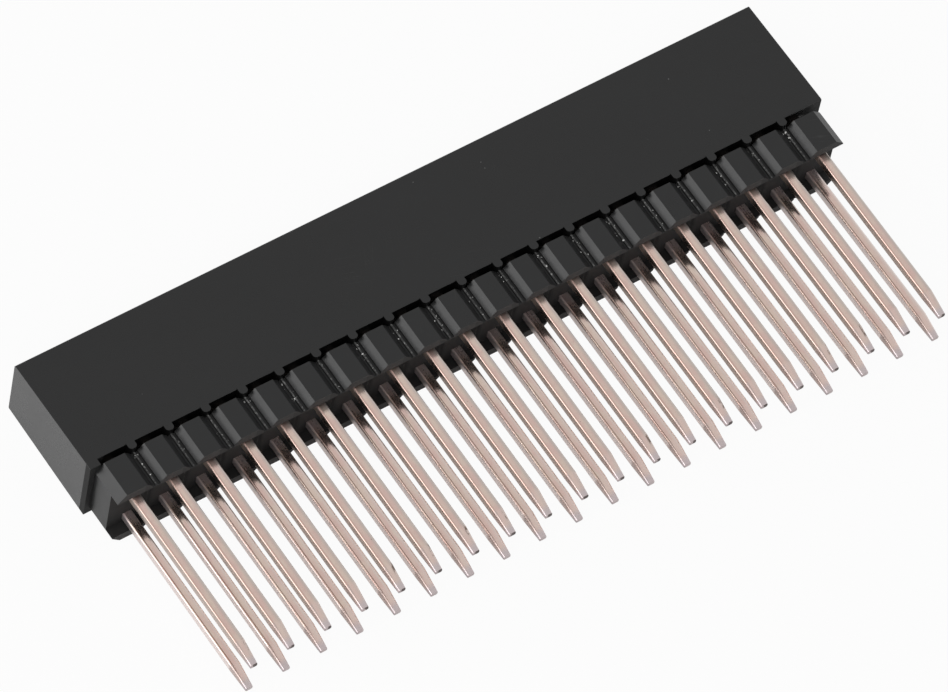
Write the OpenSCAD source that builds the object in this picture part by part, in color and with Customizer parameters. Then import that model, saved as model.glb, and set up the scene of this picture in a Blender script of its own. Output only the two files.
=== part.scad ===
// Double-row stacking socket on a 2.54 mm grid, with long solder tails.
//
// Forty one-piece fork contacts stand in a moulded socket housing. Their square tails
// pass through a second moulding, a notched spacer strip, that keeps them on the grid.
// The part lies on one broad side: X runs along the row, +Y points out of the socket
// mouth, the tails point to -Y, and Z is up. The origin is under the middle of the part.
//
// Inside the modules, y = 0 is the housing's pin side and z = 0 lies between the two rows.

/* [Grid] */
// Number of contact columns along the row
columns = 20; // [4:1:28]
// Distance between neighbouring columns
column_pitch = 2.54; // [2.5:0.02:3.2]
// Distance between the two rows
row_pitch = 2.54; // [2.3:0.02:2.7]

/* [Mouldings] */
// Width of the housing and the spacer across the two rows
body_width = 5; // [4.8:0.05:6]
// Radius of the housing's four long edges
edge_radius = 0.1; // [0.04:0.02:0.3]

/* [Socket housing] */
// Depth of the housing body, from its mouth to its pin side
housing_depth = 7.75; // [7:0.05:12]
// Housing material beyond the centre of the last column
housing_end_margin = 1.72; // [1.4:0.01:3]
// Thickness of the wall that the mouth openings pass through
mouth_wall = 1.1; // [0.8:0.05:2]
// Side of the square mouth openings
mouth_opening = 0.95; // [0.8:0.05:1.2]
// Side of the lead-in where it meets the mouth face
lead_in_side = 1.7; // [1.3:0.05:2]
// Depth of the lead-in
lead_in_depth = 0.45; // [0.2:0.05:0.7]
// Height of the standoff ribs on the pin side
rib_height = 0.44; // [0.3:0.02:1]
// Width of the standoff ribs
rib_width = 0.54; // [0.5:0.02:0.7]
// Radius of the ribs' rounded tips
rib_tip_radius = 0.22; // [0.1:0.02:0.22]

/* [Spacer strip] */
// Depth of the spacer along the tails
spacer_depth = 2.5; // [2:0.1:4]
// Spacer material beyond the centre of the last column
spacer_end_margin = 1.37; // [1.1:0.01:1.6]
// Chamfer on the spacer's four end corners
end_chamfer = 0.58; // [0.3:0.02:0.7]
// Chamfer on both sides of each notch between columns
notch_chamfer = 0.42; // [0.2:0.02:0.5]
// Width of the slot at the bottom of each notch
notch_slot = 0.5; // [0.3:0.02:0.6]
// Depth of the notches
notch_depth = 0.55; // [0.53:0.01:0.6]
// Width of the thin break line along each notch's floor
break_line_width = 0.14; // [0.06:0.02:0.2]
// Height of the break line
break_line_height = 0.1; // [0.04:0.02:0.2]
// Thickness of the two feet on the tail side, across the rows
foot_thickness = 0.64; // [0.62:0.01:0.8]
// Length of the feet along the tails
foot_length = 0.7; // [0.3:0.05:1]

/* [Contacts] */
// Side of the square tails
pin_side = 0.64; // [0.5:0.01:0.7]
// Width of the break along the tails' four long edges
edge_break = 0.08; // [0.02:0.01:0.1]
// Length of the tails beyond the spacer
tail_length = 12.5; // [3:0.1:20]
// Length of the taper that is coined at the end of each tail
tip_length = 1.6; // [0.5:0.05:2]
// Width of the flat end of each tail
tip_width = 0.48; // [0.3:0.01:0.5]
// Thickness of the flat end of each tail, which is coined from above
tip_thickness = 0.29; // [0.25:0.01:0.5]
// Width of the shoulder that seats in the housing
shoulder_width = 1.8; // [1.74:0.01:1.81]
// Length of the shoulder
shoulder_length = 1.3; // [1:0.05:2]
// Distance of the shoulder from the housing's pin side
shoulder_inset = 0.2; // [0.05:0.05:0.6]
// How far the barbs stand out from the shoulder's flanks
barb_reach = 0.06; // [0.02:0.01:0.1]
// Width of the fork across both arms
fork_width = 1.42; // [1.36:0.01:1.48]
// Width of each arm at its root
arm_width = 0.34; // [0.26:0.01:0.36]
// Width of each arm beside its bump and at its tip
arm_tip_width = 0.26; // [0.2:0.01:0.3]
// Gap between the two contact bumps before a pin spreads them
bump_gap = 0.48; // [0.3:0.02:0.56]
// How far the contact bumps stand out from the arms
bump_height = 0.07; // [0.04:0.01:0.1]
// Radius of the contact bumps
bump_radius = 0.3; // [0.2:0.02:0.5]
// Distance of the bumps from the arms' tips
bump_inset = 0.8; // [0.5:0.05:1.2]

/* [Fits] */
// Gap between a pressed contact and the moulding that holds it
press_gap = 0.01; // [0.01:0.01:0.03]
// Gap between the contact's flat sides and its pocket
pocket_gap = 0.04; // [0.02:0.01:0.1]
// Gap in which each fork arm can spread
spring_gap = 0.12; // [0.09:0.01:0.15]
// Gap between the arms' tips and the mouth wall
tip_gap = 0.15; // [0.05:0.05:0.5]

/* [Hidden] */
$fn = 32;
cut = 1;            // how far the cutting shapes reach past the faces they open
overlap = 0.1;      // how far a mouth opening reaches into the room behind it
rows = [-1, 1];     // the lower row and the upper row, as signs of z

// Places along the contact, from the mouth to the end of the tail
mouth_y = housing_depth;
wall_y = mouth_y - mouth_wall;
fork_tip_y = wall_y - tip_gap;
bump_y = fork_tip_y - bump_inset;
seat_y = shoulder_inset + shoulder_length;
spacer_back_y = -rib_height;
spacer_front_y = spacer_back_y - spacer_depth;
tail_end_y = spacer_front_y - tail_length;
tip_root_y = tail_end_y + tip_length;

// Overall sizes
row_length = (columns - 1) * column_pitch;
housing_length = row_length + 2 * housing_end_margin;
spacer_length = row_length + 2 * spacer_end_margin;
half_width = body_width / 2;
middle_y = (mouth_y + tail_end_y) / 2;

// Pockets and holes, sized from the contact that they hold
seat_pocket_width = shoulder_width + 2 * press_gap;
fork_pocket_width = fork_width + 2 * spring_gap;
pocket_height = pin_side + 2 * pocket_gap;
pin_hole = pin_side + 2 * press_gap;

// Fork
fork_slot = fork_width - 2 * arm_width;
root_y = seat_y + fork_slot / 2;
shoulder_flank = shoulder_width / 2 - barb_reach;
barb_length = shoulder_length / 3;
barb_pitch = 1.4 * barb_length;
open_width = 2 * shoulder_width;    // wide enough to leave the shoulder and the fork uncut

// Tail: how far its faces and its broken edges lie from its axis, each as [along the tail, at the tip]
tail_side = [pin_side / 2, tip_width / 2];
tail_bottom = [pin_side / 2, pin_side / 2];
tail_top = [pin_side / 2, tip_thickness - pin_side / 2];
tail_lower_edge = [for (i = [0, 1]) (tail_side[i] + tail_bottom[i] - edge_break) / sqrt(2)];
tail_upper_edge = [for (i = [0, 1]) (tail_side[i] + tail_top[i] - edge_break) / sqrt(2)];

function column_x(column) = (column - (columns + 1) / 2) * column_pitch;
function boundary_x(gap) = column_x(gap) + column_pitch / 2;
function contact_name(row, column) =
    str(row < 0 ? "contact_lower_" : "contact_upper_", column < 10 ? "0" : "", column);

CONTACTS = [for (row = rows) for (column = [1 : columns]) contact_name(row, column)];

// Puts a part that was drawn about the housing's pin side on the ground, centred
module stand() {
    translate([0, -middle_y, half_width]) children();
}

// Extrudes an outline drawn in (y, z) along the row, evenly about x = 0
module along_row(length) {
    rotate([90, 0, 90]) linear_extrude(length, center = true) children();
}

// Extrudes an outline drawn in (x, z) towards the tails, from a given y
module towards_tails(from_y, length) {
    translate([0, from_y, 0]) rotate([90, 0, 0]) linear_extrude(length) children();
}

// A rectangle with round corners, centred on the origin
module rounded_rectangle(size, radius) {
    square([size[0] - 2 * radius, size[1]], center = true);
    square([size[0], size[1] - 2 * radius], center = true);
    for (side = [-1, 1]) {
        for (end = [-1, 1]) {
            translate([side * (size[0] / 2 - radius), end * (size[1] / 2 - radius)]) circle(radius);
        }
    }
}

// Pockets at every place of the grid: slabs across the columns, crossed with slabs along the rows.
// Each slab narrows from wide_side at from_y to narrow_side at to_y.
module grid_of_pockets(from_y, to_y, wide, narrow) {
    intersection() {
        for (column = [1 : columns]) {
            translate([column_x(column), 0, 0])
                linear_extrude(body_width + cut, center = true)
                pocket_outline(from_y, to_y, wide[0], narrow[0]);
        }
        for (row = rows) {
            translate([0, 0, row * row_pitch / 2])
                rotate([0, 90, 0])
                linear_extrude(housing_length + cut, center = true)
                pocket_outline(from_y, to_y, wide[1], narrow[1]);
        }
    }
}

// Outline of one pocket about x = 0, with its wide end at from_y
module pocket_outline(from_y, to_y, wide, narrow) {
    polygon([
        [-wide / 2, from_y],
        [wide / 2, from_y],
        [narrow / 2, to_y],
        [-narrow / 2, to_y]
    ]);
}

// One standoff rib, seen along z: a bar with a rounded tip, rooted in the housing
module rib_outline() {
    root = edge_radius + rib_tip_radius;
    translate([0, (root - rib_height) / 2])
        rounded_rectangle([rib_width, root + rib_height], rib_tip_radius);
}

// The rib at the first column's end: a wider bar, flush with the housing's end face.
// The other end has none, which marks the last column.
module end_rib_outline() {
    root = edge_radius + rib_tip_radius;
    inner_x = boundary_x(0) + rib_width / 2;
    translate([-housing_length / 2, -rib_height])
        square([inner_x + housing_length / 2, rib_height + root]);
}

module socket_housing() {
    color([0.2, 0.2, 0.2]) stand() difference() {
        union() {
            along_row(housing_length)
                translate([housing_depth / 2, 0])
                rounded_rectangle([housing_depth, body_width], edge_radius);
            linear_extrude(body_width, center = true) {
                for (gap = [1 : columns - 1]) {
                    translate([boundary_x(gap), 0]) rib_outline();
                }
                end_rib_outline();
            }
        }
        // Seats of the contacts' shoulders, open on the pin side
        grid_of_pockets(
            -cut, seat_y,
            [seat_pocket_width, pocket_height],
            [seat_pocket_width, pocket_height]
        );
        // Room for the fork arms
        grid_of_pockets(
            seat_y - cut, wall_y,
            [fork_pocket_width, pocket_height],
            [fork_pocket_width, pocket_height]
        );
        // Mouth openings
        grid_of_pockets(
            wall_y - overlap, mouth_y + cut,
            [mouth_opening, mouth_opening],
            [mouth_opening, mouth_opening]
        );
        // Lead-ins that guide a pin into its opening
        grid_of_pockets(
            mouth_y, mouth_y - lead_in_depth,
            [lead_in_side, lead_in_side],
            [mouth_opening, mouth_opening]
        );
    }
}

// Outline of the notch between two columns on the upper side, about x = 0, with its break line
module notch_outline() {
    floor_z = half_width - notch_depth;
    chamfer_z = half_width - notch_chamfer;
    difference() {
        polygon([
            [-notch_slot / 2, floor_z],
            [notch_slot / 2, floor_z],
            [notch_slot / 2, chamfer_z],
            [notch_slot / 2 + notch_chamfer, half_width],
            [notch_slot / 2 + notch_chamfer, half_width + cut],
            [-notch_slot / 2 - notch_chamfer, half_width + cut],
            [-notch_slot / 2 - notch_chamfer, half_width],
            [-notch_slot / 2, chamfer_z]
        ]);
        translate([-break_line_width / 2, floor_z]) square([break_line_width, break_line_height]);
    }
}

// Cross-section of the spacer in (x, z): a notched bar with chamfered end corners
module spacer_section() {
    difference() {
        polygon([
            [-spacer_length / 2, -half_width + end_chamfer],
            [-spacer_length / 2 + end_chamfer, -half_width],
            [spacer_length / 2 - end_chamfer, -half_width],
            [spacer_length / 2, -half_width + end_chamfer],
            [spacer_length / 2, half_width - end_chamfer],
            [spacer_length / 2 - end_chamfer, half_width],
            [-spacer_length / 2 + end_chamfer, half_width],
            [-spacer_length / 2, half_width - end_chamfer]
        ]);
        for (gap = [1 : columns - 1]) {
            translate([boundary_x(gap), 0]) notch_outline();
            translate([boundary_x(gap), 0]) mirror([0, 1]) notch_outline();
        }
        for (column = [1 : columns]) {
            for (row = rows) {
                translate([column_x(column), row * row_pitch / 2]) square(pin_hole, center = true);
            }
        }
    }
}

module spacer_strip() {
    foot_z = half_width - foot_thickness;
    color([0.22, 0.22, 0.22]) stand() difference() {
        towards_tails(spacer_back_y, spacer_depth) spacer_section();
        // Channel on the tail side, which leaves two rows of feet
        along_row(spacer_length + cut)
            translate([spacer_front_y - cut, -foot_z])
            square([foot_length + cut, 2 * foot_z]);
    }
}

// One arm of the fork, on the +x side: it leans in to its contact bump and flares to a round tip
module fork_arm() {
    neck_x = bump_gap / 2 + bump_height;
    tip_radius = arm_tip_width / 2;
    tip_y = fork_tip_y - tip_radius;
    tip_x = fork_width / 2 - tip_radius;
    polygon([
        [fork_slot / 2, root_y],
        [fork_width / 2, root_y],
        [neck_x + arm_tip_width, bump_y],
        [tip_x + tip_radius, tip_y],
        [tip_x - tip_radius, tip_y],
        [neck_x, bump_y]
    ]);
    translate([tip_x, tip_y]) circle(tip_radius);
    intersection() {
        translate([bump_gap / 2 + bump_radius, bump_y]) circle(bump_radius);
        translate([0, root_y]) square([neck_x + tip_radius, fork_tip_y - root_y]);
    }
}

// A contact as it is stamped from flat strip: tail, barbed shoulder and two-armed fork
module contact_plan() {
    translate([-pin_side / 2, tail_end_y]) square([pin_side, seat_y - tail_end_y]);
    translate([-shoulder_flank, shoulder_inset]) square([2 * shoulder_flank, shoulder_length]);
    difference() {
        translate([-fork_width / 2, shoulder_inset]) square([fork_width, root_y - shoulder_inset]);
        translate([0, root_y]) circle(fork_slot / 2);
    }
    for (side = [0, 1]) {
        mirror([side, 0]) {
            fork_arm();
            for (barb = [0, 1]) {
                translate([shoulder_flank, seat_y - (barb + 1) * barb_pitch])
                    polygon([
                        [-barb_reach, 0],
                        [barb_reach, 0],
                        [0, barb_length],
                        [-barb_reach, barb_length]
                    ]);
            }
        }
    }
}

// Outline of a bar along the tail that opens wide at the shoulder. Its two sides are given
// as their distances from the tail's axis, each as [along the tail, at the tip].
module bar_outline(left, right) {
    polygon([
        [-left[1], tail_end_y],
        [right[1], tail_end_y],
        [right[0], tip_root_y],
        [right[0], 0],
        [open_width / 2, shoulder_inset],
        [open_width / 2, fork_tip_y],
        [-open_width / 2, fork_tip_y],
        [-open_width / 2, shoulder_inset],
        [-left[0], 0],
        [-left[0], tip_root_y]
    ]);
}

// The bar of that outline, turned about the tail's axis by an angle
module turned_bar(angle, left, right) {
    rotate([0, angle, 0]) linear_extrude(2 * open_width, center = true) bar_outline(left, right);
}

module contact(row, column) {
    color([0.79, 0.72, 0.67]) stand()
        translate([column_x(column), 0, row * row_pitch / 2])
        intersection() {
            linear_extrude(pin_side, center = true) contact_plan();
            // The tail's sides, its top and bottom, and its four broken edges
            turned_bar(0, tail_side, tail_side);
            turned_bar(90, tail_top, tail_bottom);
            turned_bar(45, tail_upper_edge, tail_lower_edge);
            turned_bar(-45, tail_lower_edge, tail_upper_edge);
        }
}

socket_housing();
spacer_strip();
for (row = rows) {
    for (column = [1 : columns]) {
        contact(row, column);
    }
}
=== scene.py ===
"""Finishes, mould flash and a small studio for a double-row stacking pin socket."""

from math import copysign, cos, pi, radians, sin
from random import Random

import bmesh
import bpy
from bpy.props import FloatProperty, FloatVectorProperty, IntProperty, PointerProperty
from bpy.types import Operator, Panel, PropertyGroup
from mathutils import Matrix, Vector


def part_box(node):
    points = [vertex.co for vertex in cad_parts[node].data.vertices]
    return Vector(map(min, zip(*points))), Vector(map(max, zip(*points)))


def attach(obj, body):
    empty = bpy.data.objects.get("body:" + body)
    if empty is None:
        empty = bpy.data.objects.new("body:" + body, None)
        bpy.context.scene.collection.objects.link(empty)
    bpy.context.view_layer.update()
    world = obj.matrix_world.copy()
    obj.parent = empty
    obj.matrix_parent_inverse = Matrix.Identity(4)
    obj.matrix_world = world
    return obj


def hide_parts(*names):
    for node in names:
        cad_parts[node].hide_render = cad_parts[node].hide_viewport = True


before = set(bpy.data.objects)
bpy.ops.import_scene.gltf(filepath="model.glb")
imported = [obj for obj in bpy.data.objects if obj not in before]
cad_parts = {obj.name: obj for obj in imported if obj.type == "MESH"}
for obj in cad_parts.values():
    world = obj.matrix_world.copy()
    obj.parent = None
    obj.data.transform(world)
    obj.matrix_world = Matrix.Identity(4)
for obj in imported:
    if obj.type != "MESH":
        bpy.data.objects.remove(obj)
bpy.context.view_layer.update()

bl_info = {
    "name": "Stacking Pin Socket",
    "version": (1, 0, 0),
    "blender": (4, 5, 0),
    "location": "View3D > Sidebar > Pin Socket",
    "description": "Finishes, mould flash and studio for a double-row stacking pin socket",
    "category": "Object",
}

BODY = "root"
HOUSING = "socket_housing"
SPACER = "spacer_strip"
CONTACTS = sorted(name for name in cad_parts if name.startswith("contact_"))
UPPER = [name for name in CONTACTS if "_upper_" in name]
LOWER = [name for name in CONTACTS if "_lower_" in name]

MM = 0.001


def middle_x(node):
    """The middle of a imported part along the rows."""
    low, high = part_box(node)
    return (low.x + high.x) / 2


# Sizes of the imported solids, in metres
COLUMNS = len(UPPER)
PITCH = (middle_x(UPPER[-1]) - middle_x(UPPER[0])) / (COLUMNS - 1)
HOUSING_LOW, HOUSING_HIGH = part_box(HOUSING)
SPACER_LOW, SPACER_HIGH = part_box(SPACER)
CONTACT_LOW, CONTACT_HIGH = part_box(UPPER[0])
TAIL_END = CONTACT_LOW.y
PIN_SIDE = CONTACT_HIGH.z - CONTACT_LOW.z
ROW_PITCH = CONTACT_LOW.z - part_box(LOWER[0])[0].z
MIDDLE_Z = (HOUSING_LOW.z + HOUSING_HIGH.z) / 2
RIB_LENGTH = 0.44 * MM          # how far the housing's ribs reach to the spacer
NOTCH_DEPTH = 0.55 * MM         # depth of the break notches in both broad faces of the spacer
NOTCH_FLOOR = 0.50 * MM         # width of their floor
BREAK_LINE = 0.14 * MM          # width of the raised line along the middle of the floor
BREAK_HEIGHT = 0.10 * MM        # height of that line
FOOT_LENGTH = 0.70 * MM         # how far the feet stand out over the channel behind them
FOOT_THICKNESS = 0.64 * MM

# Sizes that only this file gives to the shown pieces, in metres
TIP_BURR = 0.02 * MM            # how far the sheared end is drawn in from the tip's edges
TAIL_STUB = 0.25 * MM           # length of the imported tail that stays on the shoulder
DRAFTED_DEPTH = 0.15 * MM       # depth under the housing's broad faces that moves with them
CORNER_STEPS = 6                # steps round each rolled edge of a tail

# Heights of relief, in metres
PLASTIC_RELIEF = 0.004 * MM
FLASH_RELIEF = 0.006 * MM
PLATING_RELIEF = 0.004 * MM

# Lengths in finishes, in millimetres
FADE = 0.01                     # width over which a finish changes at an edge
GAP_END = 1.2                   # length of the gap's matt stretch at each end of the housing
FLANK_SHADE = 0.22              # width of the dull strip beside a notch's floor
SIDE_FADE = 0.04                # width over which a tail's side turns into its rolled edge
RIM_END = 0.17                  # width of the rolled edge on an upper tail's left
RIM_FADE = 0.05

# Colours that are not for the user to set
END_LIGHT_PALER = 0.048              # how much paler the housing's end faces are painted than the moulded skin, as painted light
FACE_PALER = 0.020              # how much paler the spacer's front faces are painted, as painted light
# painted shade: near-black for the gap between the housing and the spacer
GAP_SHADE_COLOUR = (0.003, 0.003, 0.003)
# painted shade: near-black for the spacer's notch floors and for its channel
RECESS_SHADE_COLOUR = (0.004, 0.004, 0.004)
GLOW_COLOUR = (0.99, 0.99, 0.99)
# painted reflection: the lit left side of a lower tail
LIT_SIDE = (0.96, 0.86, 0.83)
COINED_COLOUR = (0.86, 0.69, 0.63)
COINED_EDGE = (0.55, 0.45, 0.42)
BLUNT_COLOUR = (0.60, 0.55, 0.58)
SHEARED_COLOUR = (0.055, 0.038, 0.032)
# painted shade: the contacts between the two mouldings
TUCKED_SHADE_COLOUR = (0.02, 0.018, 0.017)
# painted shade: the lower tails' roots next to the spacer
ROOT_SHADE_COLOUR = (0.40, 0.34, 0.365)

# The studio, in metres
KEY_DIRECTION, KEY_SIZE = (-0.58, -0.30, 0.76), 0.5
RIM_DIRECTION, RIM_SIZE = (-0.84, 0.39, 0.376), 0.42
BOX_DISTANCE = 0.8
PAPER_HALF = 3.0                # half the side of the paper floor
PAPER_DEPTH = 0.02 * MM         # how far it lies under the part


# ---------------------------------------------------------------- node trees

class Value:
    """A socket of a node tree that can stand in sums and products."""

    def __init__(self, tree, socket):
        self.tree, self.socket = tree, socket

    def maths(self, operation, *values, clamp=False):
        settings = {"operation": operation, "use_clamp": clamp}
        return self.tree.node("ShaderNodeMath", settings, dict(enumerate(values)))

    def __add__(self, other):
        return self.maths("ADD", self, other)

    def __sub__(self, other):
        return self.maths("SUBTRACT", self, other)

    def __rsub__(self, other):
        return self.maths("SUBTRACT", other, self)

    def __mul__(self, other):
        return self.maths("MULTIPLY", self, other)

    def __truediv__(self, other):
        return self.maths("DIVIDE", self, other)

    __radd__, __rmul__ = __add__, __mul__

    def __abs__(self):
        return self.maths("ABSOLUTE", self)

    def at_least(self, other):
        return self.maths("MAXIMUM", self, other)

    def below(self, other):
        """1 where this is less than the other value, and 0 elsewhere."""
        return self.maths("LESS_THAN", self, other)

    def clamped(self):
        return self.maths("ADD", self, 0.0, clamp=True)

    def floor(self):
        return self.maths("FLOOR", self)

    def rises(self, start, end):
        """0 before start and 1 after end, with a smooth step between them."""
        settings = {"interpolation_type": "SMOOTHSTEP"}
        sockets = {"Value": self, "From Min": start, "From Max": end}
        return self.tree.node("ShaderNodeMapRange", settings, sockets)

    def falls(self, start, end):
        """1 before start and 0 after end."""
        return 1 - self.rises(start, end)


class Tree:
    """Adds nodes to a shader or geometry tree and links them."""

    def __init__(self, tree):
        self.tree = tree
        tree.nodes.clear()

    def node(self, kind, settings=None, sockets=None, output=0):
        """A new node: its settings go first, then the values or links of its sockets."""
        node = self.tree.nodes.new(kind)
        for name, value in (settings or {}).items():
            setattr(node, name, value)
        for name, value in (sockets or {}).items():
            socket = node.inputs[name]
            if isinstance(value, Value):
                self.tree.links.new(value.socket, socket)
            else:
                socket.default_value = (*value, 1.0) if socket.type == "RGBA" else value
        return Value(self, node.outputs[output]) if len(node.outputs) else None

    def mix(self, factor, first, second):
        """Blends two colours."""
        sockets = {"Factor": factor, 6: first, 7: second}
        return self.node("ShaderNodeMix", {"data_type": "RGBA"}, sockets, output=2)

    def place(self, scale=(1.0, 1.0, 1.0), turn=(0.0, 0.0, 0.0)):
        """Object coordinates in millimetres, turned and then stretched by scale."""
        coordinates = self.node("ShaderNodeTexCoord", output=3)
        sockets = {"Vector": coordinates, "Rotation": turn}
        turned = self.node("ShaderNodeMapping", {"vector_type": "POINT"}, sockets)
        stretch = tuple(value / MM for value in scale)
        settings = {"operation": "MULTIPLY"}
        return self.node("ShaderNodeVectorMath", settings, {0: turned, 1: stretch})

    def combined(self, x, y, z):
        """A vector from its X, Y and Z."""
        return self.node("ShaderNodeCombineXYZ", None, {0: x, 1: y, 2: z})

    def parts(self, vector):
        """The X, Y and Z of a vector."""
        return [self.node("ShaderNodeSeparateXYZ", None, {0: vector}, output=axis)
                for axis in range(3)]

    def noise(self, vector, scale=1.0, detail=2.0, roughness=0.5):
        sockets = {"Vector": vector, "Scale": scale, "Detail": detail, "Roughness": roughness}
        return self.node("ShaderNodeTexNoise", {"noise_dimensions": "3D"}, sockets)

    def dots(self, vector, scale, rim, chance):
        """Dots in some cells of a pattern: rim is where they fade, chance which cells have one."""
        sockets = {"Vector": vector, "Scale": scale}
        distance, tag = (self.node("ShaderNodeTexVoronoi", {"feature": "F1"}, sockets, output)
                         for output in (0, 1))
        return distance.falls(*rim) * self.parts(tag)[0].rises(*chance)

    def scatter(self, low, seed):
        """A random vector for each point, from low up to 1 on each axis."""
        sockets = {0: low, 1: (1.0, 1.0, 1.0), "Seed": seed}
        return self.node("FunctionNodeRandomValue", {"data_type": "FLOAT_VECTOR"}, sockets)


def tinted(rgb, factors):
    """A colour with each of its parts times a factor."""
    return tuple(part * factor for part, factor in zip(rgb, factors))


def paler(rgb, amount):
    """A colour with the same amount added to each of its parts."""
    return tuple(part + amount for part in rgb)


def geometry_tree(name, inputs):
    """A geometry tree with named inputs, each given as the type of its socket."""
    group = bpy.data.node_groups.new(name, "GeometryNodeTree")
    group.interface.new_socket(name="Geometry", in_out="OUTPUT", socket_type="NodeSocketGeometry")
    for label, kind in {"Geometry": "Geometry", **inputs}.items():
        group.interface.new_socket(name=label, in_out="INPUT", socket_type="NodeSocket" + kind)
    tree = Tree(group)
    given = {label: tree.node("NodeGroupInput", output=label) for label in ("Geometry", *inputs)}
    return group, tree, given


def place_copies(tree, given, points, chosen, turn, size):
    """Puts a copy of the incoming shape on each chosen point, and ends the tree."""
    sockets = {"Points": points, "Instance": given["Geometry"], "Selection": chosen,
               "Rotation": turn, "Scale": size}
    copies = tree.node("GeometryNodeInstanceOnPoints", None, sockets)
    solid = tree.node("GeometryNodeRealizeInstances", None, {"Geometry": copies})
    sockets = {"Geometry": solid, "Material": given["Material"]}
    coloured = tree.node("GeometryNodeSetMaterial", None, sockets)
    tree.node("NodeGroupOutput", None, {"Geometry": coloured})


def grow(name, start_mesh, group, values):
    """A plain piece that a geometry tree grows from a start mesh."""
    seedling = bpy.data.objects.new(name + "_start", start_mesh)
    bpy.context.scene.collection.objects.link(seedling)
    modifier = seedling.modifiers.new("grow", "NODES")
    modifier.node_group = group
    for item in group.interface.items_tree:
        if item.in_out == "INPUT" and item.name in values:
            modifier[item.identifier] = values[item.name]
    graph = bpy.context.evaluated_depsgraph_get()
    mesh = bpy.data.meshes.new_from_object(seedling.evaluated_get(graph), depsgraph=graph)
    bpy.data.objects.remove(seedling)
    return add_piece(name, mesh)


def add_piece(name, mesh):
    """A new object at the origin that shows a mesh."""
    mesh.name = name
    piece = bpy.data.objects.new(name, mesh)
    bpy.context.scene.collection.objects.link(piece)
    return piece


def mesh_from(shape, name, sharp_angle):
    """Turns a shape in millimetres into a smooth mesh in metres that keeps its sharp edges."""
    bmesh.ops.recalc_face_normals(shape, faces=shape.faces)
    bmesh.ops.scale(shape, vec=(MM, MM, MM), verts=shape.verts)
    mesh = bpy.data.meshes.new(name)
    shape.to_mesh(mesh)
    shape.free()
    mesh.shade_smooth()
    mesh.set_sharp_from_angle(angle=radians(sharp_angle))
    return mesh


def copy_of_node(node):
    """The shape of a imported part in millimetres, merged and with its flat faces whole."""
    shape = bmesh.new()
    shape.from_mesh(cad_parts[node].data)
    bmesh.ops.scale(shape, vec=(1 / MM, 1 / MM, 1 / MM), verts=shape.verts)
    bmesh.ops.remove_doubles(shape, verts=shape.verts, dist=0.0001)
    bmesh.ops.dissolve_limit(
        shape, angle_limit=radians(0.5), verts=shape.verts, edges=shape.edges)
    return shape


def new_material(name):
    """A material and its node tree, still empty."""
    material = bpy.data.materials.new(name)
    material.use_nodes = True
    return material, Tree(material.node_tree)


def finish_material(tree, constants, base, rough, relief, relief_height, **varying):
    """Joins a principled shader with fixed constants, varying sockets and a bump."""
    sockets = {"Strength": 1.0, "Distance": relief_height, "Height": relief}
    bump = tree.node("ShaderNodeBump", None, sockets)
    sockets = {"IOR": 1.5, **constants, "Base Color": base, "Roughness": rough.clamped(),
               **varying, "Normal": bump}
    shader = tree.node("ShaderNodeBsdfPrincipled", None, sockets)
    tree.node("ShaderNodeOutputMaterial", None, {"Surface": shader})


def dress(node, material):
    """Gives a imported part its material."""
    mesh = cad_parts[node].data
    mesh.materials.clear()
    mesh.materials.append(material)


# ---------------------------------------------------------------- values

class PinSocketLook(PropertyGroup):
    housing_colour: FloatVectorProperty(
        name="Housing Colour", description="Colour of the moulded socket housing",
        subtype="COLOR", min=0.0, max=1.0, default=(0.0075, 0.0076, 0.0078))
    spacer_colour: FloatVectorProperty(
        name="Spacer Colour", description="Colour of the moulded spacer strip",
        subtype="COLOR", min=0.0, max=1.0, default=(0.0080, 0.0082, 0.0084))
    dust_colour: FloatVectorProperty(
        name="Dust Colour", description="Colour of dust and of whitened plastic at broken flash",
        subtype="COLOR", min=0.0, max=1.0, default=(0.42, 0.42, 0.41))
    mouth_draft: FloatProperty(
        name="Mouth Draft",
        description="How far each broad face of the housing falls away towards its mouth",
        subtype="DISTANCE", unit="LENGTH", min=0.0, max=0.0004, default=0.00019)
    housing_roughness: FloatProperty(
        name="Housing Roughness", description="Roughness of the socket housing",
        min=0.05, max=1.0, default=0.28)
    spacer_roughness: FloatProperty(
        name="Spacer Roughness", description="Roughness of the spacer strip",
        min=0.05, max=1.0, default=0.30)
    plastic_reflection: FloatProperty(
        name="Plastic Reflection", description="Specular level of both mouldings",
        min=0.0, max=1.0, default=0.47)
    plating_colour: FloatVectorProperty(
        name="Plating Colour", description="Colour of the plated contacts",
        subtype="COLOR", min=0.0, max=1.0, default=(0.825, 0.645, 0.568))
    tarnish_colour: FloatVectorProperty(
        name="Tarnish Colour", description="Colour of worn spots and of the sheared ends",
        subtype="COLOR", min=0.0, max=1.0, default=(0.160, 0.105, 0.080))
    plating_roughness: FloatProperty(
        name="Plating Roughness", description="Roughness of the plated contacts",
        min=0.05, max=1.0, default=0.13)
    coined_length: FloatProperty(
        name="Coined Length", description="Length of the tapered end of each tail",
        subtype="DISTANCE", unit="LENGTH", min=0.0005, max=0.003, default=0.0016)
    edge_roll: FloatProperty(
        name="Edge Roll", description="Radius of the rolled edges along each tail",
        subtype="DISTANCE", unit="LENGTH", min=0.00003, max=0.0002, default=0.00013)
    lean: FloatProperty(
        name="Lean", description="Largest angle by which a tail leans out of true",
        subtype="ANGLE", min=0.0, max=0.01, default=0.0022)


class PinSocketFlash(PropertyGroup):
    flash_colour: FloatVectorProperty(
        name="Flash Colour", description="Colour of plastic that has turned pale where it was torn",
        subtype="COLOR", min=0.0, max=1.0, default=(0.80, 0.80, 0.78))
    chips_per_notch: IntProperty(
        name="Chips per Notch", description="Most slivers of flash left in one notch",
        min=0, max=16, default=9)
    chip_length: FloatProperty(
        name="Chip Length", description="Longest sliver of flash",
        subtype="DISTANCE", unit="LENGTH", min=0.00002, max=0.0006, default=0.00024)


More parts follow.
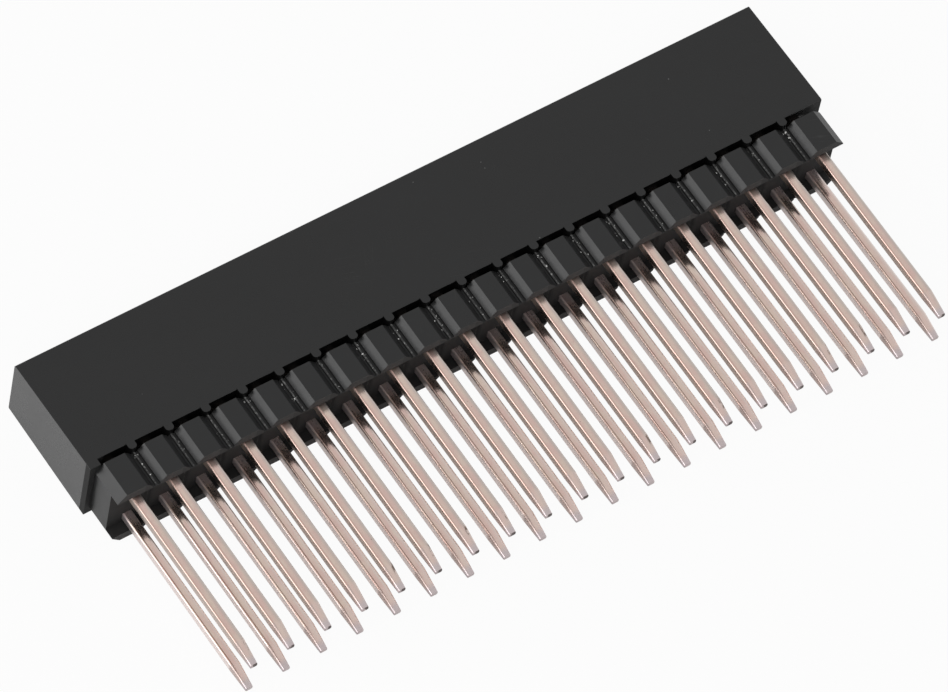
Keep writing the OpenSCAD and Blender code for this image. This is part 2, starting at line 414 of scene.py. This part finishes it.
class PinSocketStudio(PropertyGroup):
    paper_colour: FloatVectorProperty(
        name="Paper Colour", description="Colour of the floor and of the surrounding white",
        subtype="COLOR", min=0.0, max=1.0, default=(0.955, 0.955, 0.955))
    room_level: FloatProperty(
        name="Room Level", description="Level of the soft light from all round",
        min=0.0, max=2.0, default=0.50)
    ceiling_level: FloatProperty(
        name="Ceiling Level", description="Brightness of the ceiling next to the white walls",
        min=0.0, max=1.0, default=0.75)
    key_level: FloatProperty(
        name="Key Level", description="Brightness of the soft box high on the left",
        min=0.0, max=20.0, default=3.2)
    rim_level: FloatProperty(
        name="Rim Level", description="Brightness of the low soft box at the back left",
        min=0.0, max=20.0, default=2.1)
    paper_evenness: FloatProperty(
        name="Paper Evenness",
        description="How far the floor shows plain white in place of its shading",
        subtype="FACTOR", min=0.0, max=1.0, default=0.95)
    mirrored_evenness: FloatProperty(
        name="Mirrored Evenness",
        description="The same, where the floor shows in polished surfaces",
        subtype="FACTOR", min=0.0, max=1.0, default=0.16)
    lens: FloatProperty(
        name="Lens", description="Focal length of the camera, in millimetres",
        min=35.0, max=600.0, default=383.22)
    camera_place: FloatVectorProperty(
        name="Camera Place", description="Where the camera stands",
        subtype="TRANSLATION", unit="LENGTH", default=(-0.22203, -0.22943, 0.49798))
    camera_aim: FloatVectorProperty(
        name="Camera Aim", description="Point that the camera looks at",
        subtype="TRANSLATION", unit="LENGTH", default=(-0.000727, 0.000728, 0.0025))
    camera_up: FloatVectorProperty(
        name="Camera Up", description="Direction that points up in the picture",
        subtype="DIRECTION", default=(0.41407, 0.74073, 0.52902))


# ---------------------------------------------------------------- mouldings

def hairlines(tree, place):
    """Fine scratches in two directions, each in patches."""
    scratches = 0.0
    for turn, patch_scale in ((0.35, 0.16), (2.05, 0.21)):
        stretched = tree.place(scale=(0.09, 7.0, 7.0), turn=(0.0, 0.0, turn))
        lines = abs(tree.noise(stretched, detail=0.0) - 0.5).falls(0.0, 0.012)
        patches = tree.noise(place, patch_scale, detail=1.0).rises(0.60, 0.72)
        scratches = lines * patches + scratches
    return scratches


def moulded_surface(tree, look, tint, roughness, grain, seed):
    """Colour, roughness and relief of dark plastic: fine grain, flow marks, hairlines and dust."""
    sockets = {0: tree.place(), 1: (seed, seed, seed)}
    place = tree.node("ShaderNodeVectorMath", {"operation": "ADD"}, sockets)
    flow = tree.noise(tree.place(scale=(0.10, 0.32, 0.30)), detail=3.0)
    fine = tree.noise(place, grain)
    mottle = tree.noise(place, 1.4, detail=4.0, roughness=0.6)
    scratches = hairlines(tree, place)
    dust = tree.dots(place, 1.15, rim=(0.03, 0.06), chance=(0.86, 0.88))
    base = tree.mix(flow * 0.55 + mottle * 0.35, tint, tinted(tint, (1.35, 1.35, 1.35)))
    base = tree.mix(scratches.clamped() * 0.03, base, look.dust_colour)
    base = tree.mix(dust * 0.35, base, look.dust_colour)
    rough = (mottle - 0.5) * 0.10 + (flow - 0.5) * 0.10 + roughness + scratches * 0.05
    relief = fine * 0.5 + mottle * 0.3 - scratches * 0.2
    return base, rough, relief


def housing_plastic(look):
    """The housing's plastic: painted paler on its end faces as painted light, and painted black as
    painted shade in the gap behind the spacer.
    """
    material, tree = new_material("housing_plastic")
    across, along, height = tree.parts(tree.place())
    base, rough, relief = moulded_surface(
        tree, look, look.housing_colour, look.housing_roughness, grain=9.0, seed=3.0)
    half, half_height = HOUSING_HIGH.x / MM, HOUSING_HIGH.z / MM / 2
    # painted light: both end faces of the housing are painted paler
    painted_end_light = abs(across).rises(half - 2 * FADE, half - FADE)
    base = tree.mix(painted_end_light, base, paler(look.housing_colour, END_LIGHT_PALER))
    # painted shade: the gap behind the spacer is painted near-black
    body = (HOUSING_LOW.y + RIB_LENGTH) / MM
    gap = along.falls(body + FADE, body + 2 * FADE)
    gap = gap * abs(height - MIDDLE_Z / MM).falls(half_height - 2 * FADE, half_height - FADE)
    base = tree.mix(gap, base, GAP_SHADE_COLOUR)
    rough = rough + gap * abs(across).rises(half - GAP_END - 0.1, half - GAP_END + 0.1) * 0.40
    constants = {"Metallic": 0.0, "Specular IOR Level": look.plastic_reflection}
    finish_material(tree, constants, base, rough, relief, PLASTIC_RELIEF)
    return material


def notch_shade_and_tears(across, along, height, grain):
    """Masks in the spacer's notches: their floors, which take painted shade, their flanks and the
    torn break lines.
    """
    half_floor, depth = NOTCH_FLOOR / MM / 2, NOTCH_DEPTH / MM
    column = across / (PITCH / MM)
    from_notch = (column - (column + 0.5).floor()) * (PITCH / MM)
    aside = abs(from_notch)
    last_notch = (SPACER_HIGH.x - PITCH / 2) / MM
    middle = SPACER_HIGH.z / MM / 2
    sunk = abs(height - middle).falls(middle - 0.05, middle - 0.02)
    sunk = sunk * abs(across).falls(last_notch - 0.1, last_notch)
    floor = aside.falls(half_floor - FADE, half_floor + 3 * FADE) * sunk
    foot = -half_floor - depth
    flank = from_notch.rises(foot, foot + 2 * FADE) * from_notch.falls(0.0, 0.1)
    flank = (flank + aside.falls(half_floor, half_floor + FLANK_SHADE)).clamped() * sunk
    ridge = aside.falls(BREAK_LINE / MM * 0.15, BREAK_LINE / MM * 0.50) * sunk
    back = along.rises(SPACER_LOW.y / MM + 0.2, SPACER_HIGH.y / MM)
    torn = (grain.rises(0.48, 0.62) * 0.85 + 0.15) * (back * 0.4 + 0.6)
    return floor, flank, ridge * torn


def spacer_plastic(look):
    """The spacer's plastic: torn along its break lines, with painted shade on its notch floors and
    in its channel, painted paler as painted light on its front faces, and matt on its front faces
    and in its channel.
    """
    material, tree = new_material("spacer_plastic")
    across, along, height = tree.parts(tree.place())
    base, rough, relief = moulded_surface(
        tree, look, look.spacer_colour, look.spacer_roughness, grain=13.0, seed=11.0)
    torn = tree.noise(tree.place(scale=(8.0, 6.0, 5.0)), detail=4.0, roughness=0.7)
    floor, flank, ridge = notch_shade_and_tears(across, along, height, torn)
    front, wall = SPACER_LOW.y / MM, (SPACER_LOW.y + FOOT_LENGTH) / MM
    half_channel = (MIDDLE_Z - FOOT_THICKNESS) / MM
    channel = abs(height - MIDDLE_Z / MM).falls(half_channel + FADE, half_channel + 2 * FADE)
    channel = channel * along.falls(wall + FADE, wall + 3 * FADE)
    face = along.falls(front + FADE, front + 2 * FADE)
    matt = channel.at_least(face)
    # painted shade: the notch floors are painted darker, in patches
    base = tree.mix(floor * (1 - torn * 0.6), base, RECESS_SHADE_COLOUR)
    base = tree.mix(ridge * 0.60, base, look.dust_colour)
    # painted light: the spacer's front faces are painted paler
    base = tree.mix(face, base, paler(look.spacer_colour, FACE_PALER))
    # painted shade: the channel behind the spacer's feet is painted dark
    base = tree.mix(channel * 0.8, base, RECESS_SHADE_COLOUR)
    rough = rough + matt * 0.40 + floor * 0.35 + flank * (1 - floor) * 0.16
    relief = relief + (floor + matt * 0.5) * torn * 4.0
    constants = {"Metallic": 0.0, "Specular IOR Level": look.plastic_reflection}
    finish_material(tree, constants, base, rough, relief, PLASTIC_RELIEF)
    return material


def drafted_housing(draft):
    """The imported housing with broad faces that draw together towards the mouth."""
    shape = copy_of_node(HOUSING)
    front, back, middle = HOUSING_LOW.y / MM, HOUSING_HIGH.y / MM, MIDDLE_Z / MM
    for vertex in shape.verts:
        level = vertex.co.z - middle
        if abs(level) > middle - DRAFTED_DEPTH / MM:
            fall = draft / MM * (vertex.co.y - front) / (back - front)
            vertex.co.z -= copysign(fall, level)
    return mesh_from(shape, "housing", sharp_angle=25.0)


class PINSOCKET_OT_housing(Operator):
    """Make the socket housing"""
    bl_idname = "pin_socket.housing"
    bl_label = "Socket Housing"

    def execute(self, context):
        look = context.scene.pin_socket_look
        piece = add_piece("housing", drafted_housing(look.mouth_draft))
        piece.data.materials.append(housing_plastic(look))
        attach(piece, BODY)
        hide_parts(HOUSING)
        return {"FINISHED"}


class PINSOCKET_OT_spacer(Operator):
    """Dress the spacer strip"""
    bl_idname = "pin_socket.spacer"
    bl_label = "Spacer Strip"

    def execute(self, context):
        dress(SPACER, spacer_plastic(context.scene.pin_socket_look))
        return {"FINISHED"}


# ---------------------------------------------------------------- mould flash

def whitened_plastic(tint):
    """Plastic that has turned pale where it was torn."""
    material, tree = new_material("torn_flash")
    speckle = tree.noise(tree.place(), 5.0)
    base = tree.mix(speckle.rises(0.40, 0.60), tinted(tint, (0.10, 0.10, 0.10)), tint)
    finish_material(tree, {"Metallic": 0.0}, base, speckle * 0.3 + 0.35, speckle, FLASH_RELIEF)
    return material


def flake_mesh():
    """An irregular flat sliver one millimetre across."""
    chance = Random(5)
    shape = bmesh.new()
    bmesh.ops.create_icosphere(shape, subdivisions=1, radius=0.5)
    for vertex in shape.verts:
        vertex.co *= chance.uniform(0.65, 1.0)
        vertex.co.z *= 0.4
    return mesh_from(shape, "flake", sharp_angle=20.0)


def flash_field():
    """A tree that scatters slivers in the notches of both broad faces, most of them at the back."""
    group, tree, given = geometry_tree("flash_field", {
        "Notches": "Int", "Chips": "Int", "Pitch": "Float", "Back": "Float", "Front": "Float",
        "Middle": "Float", "Floor": "Float", "Line Width": "Float", "Line Height": "Float",
        "Spread": "Float", "Length": "Float", "Seed": "Int", "Material": "Material"})
    index = tree.node("GeometryNodeInputIndex")
    pair = (index / 2).floor()
    side = index - pair * 2
    notch = (pair / given["Chips"]).floor()
    aside, turned, chance = tree.parts(tree.scatter((-1.0, -1.0, 0.0), given["Seed"]))
    offset = aside * given["Spread"]
    on_line = abs(offset).below(given["Line Width"] / 2)
    level = given["Floor"] + on_line * given["Line Height"]
    place = tree.combined(
        (notch - (given["Notches"] - 1) / 2) * given["Pitch"] + offset,
        given["Back"] + (given["Front"] - given["Back"]) * (turned * turned),
        given["Middle"] + level * (side * 2 - 1))
    sockets = {"Count": given["Notches"] * given["Chips"] * 2, "Position": place}
    points = tree.node("GeometryNodePoints", None, sockets)
    turn = tree.combined(aside * 0.6, turned * 0.6, aside * 9.0)
    size = (chance * chance * 0.75 + 0.25) * given["Length"] / MM
    place_copies(tree, given, points, chance.rises(0.30, 0.31), turn,
                 tree.combined(size * 0.6, size, size))
    return group


class PINSOCKET_OT_flash(Operator):
    """Scatter slivers of mould flash along the spacer's break lines"""
    bl_idname = "pin_socket.flash"
    bl_label = "Mould Flash"

    def execute(self, context):
        flash = context.scene.pin_socket_flash
        piece = grow("mould_flash", flake_mesh(), flash_field(), {
            "Notches": COLUMNS - 1, "Chips": flash.chips_per_notch, "Pitch": PITCH,
            "Back": SPACER_HIGH.y - flash.chip_length, "Front": SPACER_LOW.y + flash.chip_length,
            "Middle": MIDDLE_Z, "Floor": MIDDLE_Z - NOTCH_DEPTH, "Line Width": BREAK_LINE,
            "Line Height": BREAK_HEIGHT, "Spread": NOTCH_FLOOR * 0.4,
            "Length": flash.chip_length, "Seed": 7,
            "Material": whitened_plastic(flash.flash_colour)})
        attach(piece, BODY)
        return {"FINISHED"}


# ---------------------------------------------------------------- contacts

class TailPlace:
    """Where a shaded point lies on its tail, in millimetres."""

    def __init__(self, tree):
        self.point = tree.place()
        across, self.along, height = tree.parts(self.point)
        self.column = (across / (PITCH / MM) + COLUMNS / 2).floor()
        self.aside = across - (self.column - (COLUMNS - 1) / 2) * (PITCH / MM)
        self.past_end = self.along - TAIL_END / MM
        self.past_spacer = self.along - SPACER_LOW.y / MM
        self.upper = height.rises(2.4, 2.6)
        self.lower = 1 - self.upper

    def rim(self):
        """The rolled edge along the left side."""
        edge = RIM_END - PIN_SIDE / MM / 2
        return self.aside.falls(edge - RIM_FADE, edge)


def drawn_plating(tree, tail, tint, marks):
    """Plating with a blotchy blush, drawing marks and freckles."""
    blush = tree.noise(tree.place(scale=(1.5, 0.55, 1.5)), detail=4.0, roughness=0.65)
    streaks = tree.noise(tree.place(scale=(4.0, 0.09, 4.0)))
    freckled = tree.noise(tail.point, 5.5, detail=3.0, roughness=0.7).rises(0.46, 0.72)
    pinkish, yellowish = tinted(tint, (1.01, 0.925, 0.95)), tinted(tint, (1.03, 1.08, 1.05))
    base = tree.mix(blush.rises(0.38, 0.62), pinkish, yellowish)
    worn = marks * 0.26 + streaks * 0.18 + freckled * 0.22
    return tree.mix(worn, base, tinted(tint, (0.80, 0.77, 0.76)))


def painted_side_light(tree, tail, tint, edge_roll, base):
    """Paints reflections and shade on the sides and rolled edges of a tail, which differ between
    the two rows.
    """
    half = PIN_SIDE / MM / 2
    left = tail.aside.falls(FADE - half, FADE + SIDE_FADE - half)
    right = tail.aside.rises(-0.15 * half, half)
    # painted reflections and shade: each side and rolled edge of a tail is tinted for the light its
    # row sees
    base = tree.mix(tail.rim() * tail.upper, base, tinted(tint, (0.83, 0.75, 0.74)))
    base = tree.mix(right * tail.upper * 0.9, base, tinted(tint, (0.70, 0.84, 0.90)))
    base = tree.mix(right * tail.lower, base, tinted(tint, (0.97, 1.09, 1.16)))
    base = tree.mix(left * tail.upper, base, tinted(tint, (0.74, 0.79, 0.80)))
    base = tree.mix(left * tail.lower, base, LIT_SIDE)
    # painted reflection: a dark line along the lower tails' rolled edge, where the upper tails show
    # in it
    roll = edge_roll / MM - half
    reflection_line = tail.aside.rises(roll - 3 * FADE, roll - FADE)
    reflection_line = reflection_line * tail.aside.falls(roll + FADE, roll + 3 * FADE)
    return tree.mix(reflection_line * tail.lower * 0.8, base, tinted(tint, (0.36, 0.32, 0.30)))


def tarnish(tree, tail):
    """Stains on the taper of some upper tails, and tiny spots anywhere."""
    luck = tree.node("ShaderNodeTexWhiteNoise", {"noise_dimensions": "3D"}, {
        "Vector": tree.combined(tail.column * 7.31, tail.upper * 3.7, 0.0)})
    stained = tree.noise(tree.place(scale=(4.0, 1.3, 2.2)), detail=3.0, roughness=0.7)
    zone = tail.past_end.rises(0.8, 1.0) * tail.past_end.falls(1.5, 1.8)
    stain = stained.rises(0.48, 0.56) * zone * tail.aside.rises(0.08, 0.18)
    stain = stain * luck.rises(0.35, 0.50) * tail.upper
    spots = tree.dots(tail.point, 2.6, rim=(0.05, 0.09), chance=(0.955, 0.96))
    return stain.at_least(spots * 0.8)


def sheared_end(tree, tail):
    """The bare metal of the sheared ends, ragged and mostly on the right of the upper row."""
    ragged = tree.noise(tail.point, 4.5)
    torn = (ragged * 0.6 + tail.aside - 0.3).rises(-0.12, 0.04) * tail.upper * 0.85 + 0.1
    return tail.past_end.falls(0.015, 0.05) * torn


def plated_metal(look):
    """Plated contact metal with drawing marks, coined ends, sheared tips and tarnish, with painted
    reflections on the tails' sides and painted shade between the mouldings and at the lower roots.
    """
    material, tree = new_material("contact_plating")
    tail = TailPlace(tree)
    marks = tree.noise(tree.place(scale=(11.0, 0.22, 11.0)), detail=3.0, roughness=0.6)
    pits = tree.noise(tail.point, 7.0, detail=3.0)
    taper = look.coined_length / MM
    coined = tail.past_end.falls(taper - 0.1, taper + 0.15)
    blunt = tail.past_end.falls(0.20, 0.75)
    stained, sheared = tarnish(tree, tail), sheared_end(tree, tail)
    back, body = SPACER_HIGH.y / MM, (HOUSING_LOW.y + RIB_LENGTH) / MM
    # painted shade: the stretch of each contact between the two mouldings is painted near-black
    tucked = tail.along.rises(back - 0.2, back) * tail.along.falls(body + 0.15, body + 0.45)
    dulled = tail.past_spacer.rises(-0.9 - tail.lower * 0.6, 0.1)
    # painted shade: the lower tails' roots next to the spacer are painted a dull grey-purple
    root = tail.past_spacer.rises(-0.4, 0.4) * tail.lower

    base = drawn_plating(tree, tail, look.plating_colour, marks)
    base = painted_side_light(tree, tail, look.plating_colour, look.edge_roll, base)
    for share, rgb in (
            (coined * 0.4, COINED_COLOUR),
            (coined * tail.aside.falls(-0.20, -0.12) * 0.8, COINED_EDGE),
            (blunt * 0.7, BLUNT_COLOUR),
            (stained * 0.85, look.tarnish_colour),
            (sheared * 0.9, SHEARED_COLOUR),
            # painted shade between the mouldings
            (tucked * 0.95, TUCKED_SHADE_COLOUR),
            # painted shade at the lower roots
            (root * 0.6, ROOT_SHADE_COLOUR)):
        base = tree.mix(share, base, rgb)

    rough = (marks - 0.5) * 0.16 + (pits - 0.5) * 0.10 + look.plating_roughness
    rough = rough + blunt * 0.15 + coined * 0.05 + stained * 0.25 + sheared * 0.25 + tucked * 0.2
    rough = rough + dulled * (tail.upper * 0.10 + 0.16) + tail.rim() * 0.09
    metal = 1 - sheared * 0.2 - stained * 0.4 - tucked * 0.6 - root * 0.18
    finish_material(tree, {}, base, rough, marks * 0.7 + pits * 0.3, PLATING_RELIEF,
                    Metallic=metal.clamped())
    return material


def tail_ring(shape, y, half_width, low, high, radius):
    """A ring of vertices round the tail: a rectangle with rolled corners."""
    ring = []
    corners = ((1, 1, high), (-1, 1, high), (-1, -1, low), (1, -1, low))
    for corner, (side, level, edge) in enumerate(corners):
        for step in range(CORNER_STEPS + 1):
            turn = pi / 2 * (corner + step / CORNER_STEPS)
            x = side * (half_width - radius) + radius * cos(turn)
            z = edge - level * radius + radius * sin(turn)
            ring.append(shape.verts.new((x, y, z)))
    return ring


def skin(shape, rings):
    """Faces between neighbouring rings, and a face that closes the last one."""
    for near, far in zip(rings, rings[1:]):
        for index in range(len(near)):
            after = (index + 1) % len(near)
            shape.faces.new((near[index], near[after], far[after], far[index]))
    shape.faces.new(rings[-1])


def contact_mesh(look):
    """One contact about its own axis: packed fork and shoulder, and a tail with rolled edges."""
    shape = copy_of_node(UPPER[0])
    axis = Vector((middle_x(UPPER[0]), 0.0, (CONTACT_LOW.z + CONTACT_HIGH.z) / 2)) / MM
    bmesh.ops.translate(shape, vec=-axis, verts=shape.verts)
    half = PIN_SIDE / MM / 2
    end_y = min(vertex.co.y for vertex in shape.verts)
    tip = [vertex.co for vertex in shape.verts if vertex.co.y < end_y + 0.01]
    tip_half, tip_high = max(point.x for point in tip), max(point.z for point in tip)
    taper_y = min(vertex.co.y for vertex in shape.verts if vertex.co.y > end_y + 0.01)
    shoulder_y = min(vertex.co.y for vertex in shape.verts if abs(vertex.co.x) > 1.2 * half)
    cut_y = shoulder_y - TAIL_STUB / MM
    everything = [*shape.verts, *shape.edges, *shape.faces]
    bmesh.ops.bisect_plane(shape, geom=everything, dist=0.00001, plane_co=(0.0, cut_y, 0.0),
                           plane_no=(0.0, 1.0, 0.0), clear_inner=True)
    roll, burr = look.edge_roll / MM, TIP_BURR / MM
    rings = [tail_ring(shape, y, half, -half, half, roll)
             for y in (cut_y - 0.05, taper_y + 0.2, taper_y)]
    rings += [tail_ring(shape, end_y + back, tip_half - inset, inset - half, tip_high - inset,
                        0.7 * roll)
              for back, inset in ((burr, 0.0), (burr / 4, burr / 4), (0.0, burr))]
    skin(shape, rings)
    open_edges = [edge for edge in shape.edges if edge.is_boundary]
    bmesh.ops.bridge_loops(shape, edges=open_edges)
    pivot = (0.0, -SPACER_LOW.y / MM, 0.0)
    bmesh.ops.translate(shape, vec=pivot, verts=shape.verts)
    return mesh_from(shape, "contact", sharp_angle=50.0)


def contact_field():
    """A tree that sets the contacts out on their grid, each with a small lean of its own."""
    group, tree, given = geometry_tree("contact_field", {
        "Columns": "Int", "Column Pitch": "Float", "Row Pitch": "Float", "Front": "Float",
        "Middle": "Float", "Lean": "Float", "Seed": "Int", "Material": "Material"})
    index = tree.node("GeometryNodeInputIndex")
    row = (index / given["Columns"]).floor()
    column = index - row * given["Columns"]
    place = tree.combined(
        (column - (given["Columns"] - 1) / 2) * given["Column Pitch"],
        given["Front"],
        (row - 0.5) * given["Row Pitch"] + given["Middle"])
    sockets = {"Count": given["Columns"] * 2, "Position": place}
    points = tree.node("GeometryNodePoints", None, sockets)
    sockets = {0: tree.scatter((-1.0, -1.0, -1.0), given["Seed"]), "Scale": given["Lean"]}
    turn = tree.node("ShaderNodeVectorMath", {"operation": "SCALE"}, sockets)
    place_copies(tree, given, points, True, turn, (1.0, 1.0, 1.0))
    return group


class PINSOCKET_OT_contacts(Operator):
    """Make the forty contacts"""
    bl_idname = "pin_socket.contacts"
    bl_label = "Contacts"

    def execute(self, context):
        look = context.scene.pin_socket_look
        piece = grow("contacts", contact_mesh(look), contact_field(), {
            "Columns": COLUMNS, "Column Pitch": PITCH, "Row Pitch": ROW_PITCH,
            "Front": SPACER_LOW.y, "Middle": MIDDLE_Z, "Lean": look.lean, "Seed": 4,
            "Material": plated_metal(look)})
        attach(piece, BODY)
        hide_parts(*CONTACTS)
        return {"FINISHED"}


# ---------------------------------------------------------------- studio

def add_camera(studio):
    """A long lens that looks down on the part from the side of its tails."""
    data = bpy.data.cameras.new("camera")
    data.sensor_fit, data.sensor_width, data.lens = "HORIZONTAL", 36.0, studio.lens
    data.clip_start, data.clip_end = 0.01, 10.0
    camera = bpy.data.objects.new("camera", data)
    back = (Vector(studio.camera_place) - Vector(studio.camera_aim)).normalized()
    right = Vector(studio.camera_up).cross(back).normalized()
    turn = Matrix((right, back.cross(right), back)).transposed()
    camera.matrix_world = Matrix.Translation(studio.camera_place) @ turn.to_4x4()
    bpy.context.scene.collection.objects.link(camera)
    bpy.context.scene.camera = camera


def add_soft_box(name, direction, size, level):
    """A square area light that shines on the origin with the given brightness."""
    data = bpy.data.lights.new(name, "AREA")
    data.shape, data.size = "SQUARE", size
    data.energy = level * pi * size ** 2
    light = bpy.data.objects.new(name, data)
    towards = Vector(direction).normalized()
    light.location = towards * BOX_DISTANCE
    light.rotation_mode = "QUATERNION"
    light.rotation_quaternion = towards.to_track_quat("Z", "Y")
    bpy.context.scene.collection.objects.link(light)


def shown(tree, directly, mirrored):
    """The share for rays that show the background: directly, or in glossy and clear surfaces."""
    camera, glossy, clear = (
        tree.node("ShaderNodeLightPath", output=output)
        for output in ("Is Camera Ray", "Is Glossy Ray", "Is Transmission Ray"))
    return (camera * directly).at_least(glossy.at_least(clear) * mirrored)


def add_white_room(studio):
    """Soft light from all round that looks white wherever it is seen."""
    world = bpy.data.worlds.new("white_room")
    world.use_nodes = True
    bpy.context.scene.world = world
    tree = Tree(world.node_tree)
    level = shown(tree, 1.0, 1.0) * (1 - studio.room_level) + studio.room_level
    height = tree.parts(tree.node("ShaderNodeTexCoord", output=0))[2]
    level = level * (1 - height.rises(0.25, 0.75) * (1 - studio.ceiling_level))
    sockets = {"Color": studio.paper_colour, "Strength": level}
    light = tree.node("ShaderNodeBackground", None, sockets)
    tree.node("ShaderNodeOutputWorld", None, {"Surface": light})


def add_paper_floor(studio):
    """A plain pale floor that stays white in the picture."""
    mesh = bpy.data.meshes.new("paper_floor")
    corners = [(x * PAPER_HALF, y * PAPER_HALF, -PAPER_DEPTH)
               for x, y in ((-1, -1), (1, -1), (1, 1), (-1, 1))]
    mesh.from_pydata(corners, [], [(0, 1, 2, 3)])
    material, tree = new_material("paper")
    lit = tree.node("ShaderNodeBsdfDiffuse", None, {"Color": studio.paper_colour})
    glow = tree.node("ShaderNodeEmission", None, {"Color": GLOW_COLOUR, "Strength": 1.0})
    share = shown(tree, studio.paper_evenness, studio.mirrored_evenness)
    both = tree.node("ShaderNodeMixShader", None, {0: share, 1: lit, 2: glow})
    tree.node("ShaderNodeOutputMaterial", None, {"Surface": both})
    mesh.materials.append(material)
    return add_piece("paper_floor", mesh)


class PINSOCKET_OT_studio(Operator):
    """Set up the paper floor, the lights and the camera"""
    bl_idname = "pin_socket.studio"
    bl_label = "Studio"

    def execute(self, context):
        studio = context.scene.pin_socket_studio
        context.scene.view_settings.view_transform = "Standard"
        add_white_room(studio)
        add_paper_floor(studio)
        add_soft_box("key_box", KEY_DIRECTION, KEY_SIZE, studio.key_level)
        add_soft_box("rim_box", RIM_DIRECTION, RIM_SIZE, studio.rim_level)
        add_camera(studio)
        return {"FINISHED"}


class PINSOCKET_PT_panel(Panel):
    """Lists the pieces of the stacking pin socket"""
    bl_idname = "PINSOCKET_PT_panel"
    bl_label = "Stacking Pin Socket"
    bl_space_type = "VIEW_3D"
    bl_region_type = "UI"
    bl_category = "Pin Socket"

    def draw(self, context):
        for group in (context.scene.pin_socket_look, context.scene.pin_socket_flash,
                      context.scene.pin_socket_studio):
            box = self.layout.box()
            for name in group.__annotations__:
                box.prop(group, name)
        for operator in OPERATORS:
            self.layout.operator(operator.bl_idname)


GROUPS = {
    "pin_socket_look": PinSocketLook,
    "pin_socket_flash": PinSocketFlash,
    "pin_socket_studio": PinSocketStudio,
}
OPERATORS = (PINSOCKET_OT_housing, PINSOCKET_OT_spacer, PINSOCKET_OT_flash, PINSOCKET_OT_contacts,
             PINSOCKET_OT_studio)
CLASSES = (*GROUPS.values(), *OPERATORS, PINSOCKET_PT_panel)


def register():
    for cls in CLASSES:
        bpy.utils.register_class(cls)
    for name, group in GROUPS.items():
        setattr(bpy.types.Scene, name, PointerProperty(type=group))


def unregister():
    for name in GROUPS:
        delattr(bpy.types.Scene, name)
    for cls in reversed(CLASSES):
        bpy.utils.unregister_class(cls)


def main():
    register()
    bpy.ops.pin_socket.housing()
    bpy.ops.pin_socket.spacer()
    bpy.ops.pin_socket.flash()
    bpy.ops.pin_socket.contacts()
    bpy.ops.pin_socket.studio()


if __name__ == "__main__":
    main()
